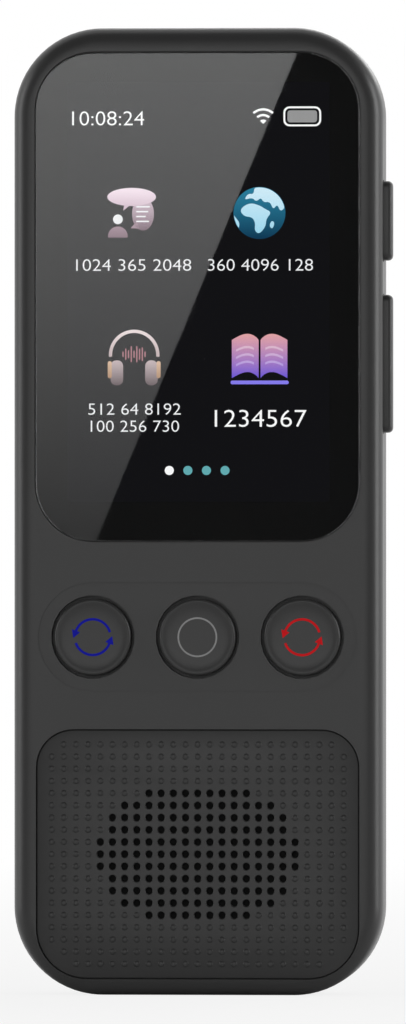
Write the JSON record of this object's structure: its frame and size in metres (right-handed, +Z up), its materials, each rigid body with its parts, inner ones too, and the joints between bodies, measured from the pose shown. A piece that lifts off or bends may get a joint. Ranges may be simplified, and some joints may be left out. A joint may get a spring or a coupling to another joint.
{
  "type": "handheld translator",
  "caption": "Upright grey handheld translator: display under rounded glass, three round face keys, oval dotted speaker grille, side power key and volume rocker.",
  "frame": {"origin": "on the flat foot of the lower end, at the middle of the width, on the plane where the two housings meet", "axes": "+Z up the length, -Y out of the face with the display and keys, +X to the viewer's right, through the wall with the side keys"},
  "size_m": [0.0465, 0.0131, 0.119],
  "materials": {
    "housing": "fine matt texture",
    "grille_plate": "matt, dotted",
    "face_key_cap": "satin",
    "side_key_cap": "satin",
    "key_stem": "natural",
    "screw_steel": "blackened",
    "cover_glass": "polished",
    "black_tape": "matt",
    "display": "polished",
    "display_tray": "plain",
    "flexible_circuit": "satin",
    "connector": "plain",
    "speaker_cloth": "woven",
    "foam": "open cell",
    "speaker_frame": "plain",
    "speaker_cone": "satin",
    "magnet": "plated",
    "circuit_board": "solder mask",
    "switch": "plain",
    "shield": "tinned",
    "chip": "matt",
    "battery_skin": "laminated foil",
    "wire_lead": "plain",
    "antenna": "foil",
    "port_steel": "plated",
    "boot_rubber": "matt",
    "camera_body": "matt",
    "window_glass": "polished",
    "lens_plastic": "clear, ribbed",
    "lamp": "plain"
  },
  "bodies": {
    "case": {"front_housing": "housing", "rear_housing": "housing", "housing_screws": "screw_steel", "cover_glass": "cover_glass", "glass_adhesive": "black_tape", "lcd_panel": "display", "lcd_frame": "display_tray", "lcd_flex": "flexible_circuit", "lcd_connector": "connector", "speaker_grille": "grille_plate", "speaker_mesh": "speaker_cloth", "speaker_gasket": "foam", "speaker_frame": "speaker_frame", "speaker_cone": "speaker_cone", "speaker_magnet": "magnet", "key_board": "circuit_board", "key_switches": "switch", "key_board_screws": "screw_steel", "key_board_header": "connector", "side_key_board": "circuit_board", "side_switches": "switch", "main_board": "circuit_board", "board_screws": "screw_steel", "processor_shield": "shield", "radio_shield": "shield", "memory_chip": "chip", "power_chip": "chip", "wifi_antenna": "antenna", "battery": "battery_skin", "battery_pad": "foam", "battery_lead": "wire_lead", "battery_connector": "connector", "usb_port": "port_steel", "bottom_microphone": "chip", "bottom_microphone_boot": "boot_rubber", "top_microphone": "chip", "top_microphone_boot": "boot_rubber", "camera_module": "camera_body", "camera_window": "window_glass", "flash_lens": "lens_plastic", "flash_lamp": "lamp"},
    "left_key": {"left_key": "face_key_cap", "left_switch_stem": "key_stem"},
    "centre_key": {"centre_key": "face_key_cap", "centre_switch_stem": "key_stem"},
    "right_key": {"right_key": "face_key_cap", "right_switch_stem": "key_stem"},
    "power_key": {"power_key": "side_key_cap", "power_switch_stem": "key_stem"},
    "volume_key": {"volume_key": "side_key_cap"},
    "volume_up_stem": {"volume_up_stem": "key_stem"},
    "volume_down_stem": {"volume_down_stem": "key_stem"}
  },
  "joints": [
    {"name": "left_key_press", "type": "slide", "parent": "case", "child": "left_key", "axis": [0, 1, 0], "range_m": [0, 0.0003], "stiffness_N_per_m": 400, "springref_m": -0.0005},
    {"name": "centre_key_press", "type": "slide", "parent": "case", "child": "centre_key", "axis": [0, 1, 0], "range_m": [0, 0.0003], "stiffness_N_per_m": 400, "springref_m": -0.0005},
    {"name": "right_key_press", "type": "slide", "parent": "case", "child": "right_key", "axis": [0, 1, 0], "range_m": [0, 0.0003], "stiffness_N_per_m": 400, "springref_m": -0.0005},
    {"name": "power_key_press", "type": "slide", "parent": "case", "child": "power_key", "axis": [-1, 0, 0], "range_m": [0, 0.0003], "stiffness_N_per_m": 400, "springref_m": -0.0005},
    {"name": "volume_rocker", "type": "hinge", "parent": "case", "child": "volume_key", "pos_m": [0.02115, -0.0021, 0.0777], "axis": [0, 1, 0], "range_deg": [-1.5, 1.5], "stiffness_Nm_per_rad": 0.02},
    {"name": "volume_up_press", "type": "slide", "parent": "case", "child": "volume_up_stem", "axis": [1, 0, 0], "range_m": [-0.00016, 0.00016]},
    {"name": "volume_down_press", "type": "slide", "parent": "case", "child": "volume_down_stem", "axis": [1, 0, 0], "range_m": [-0.00016, 0.00016]}
  ],
  "couplings": [
    {"joint": "volume_up_press", "follows": "volume_rocker", "m_per_rad": 0.0055},
    {"joint": "volume_down_press", "follows": "volume_rocker", "m_per_rad": -0.0055}
  ]
}
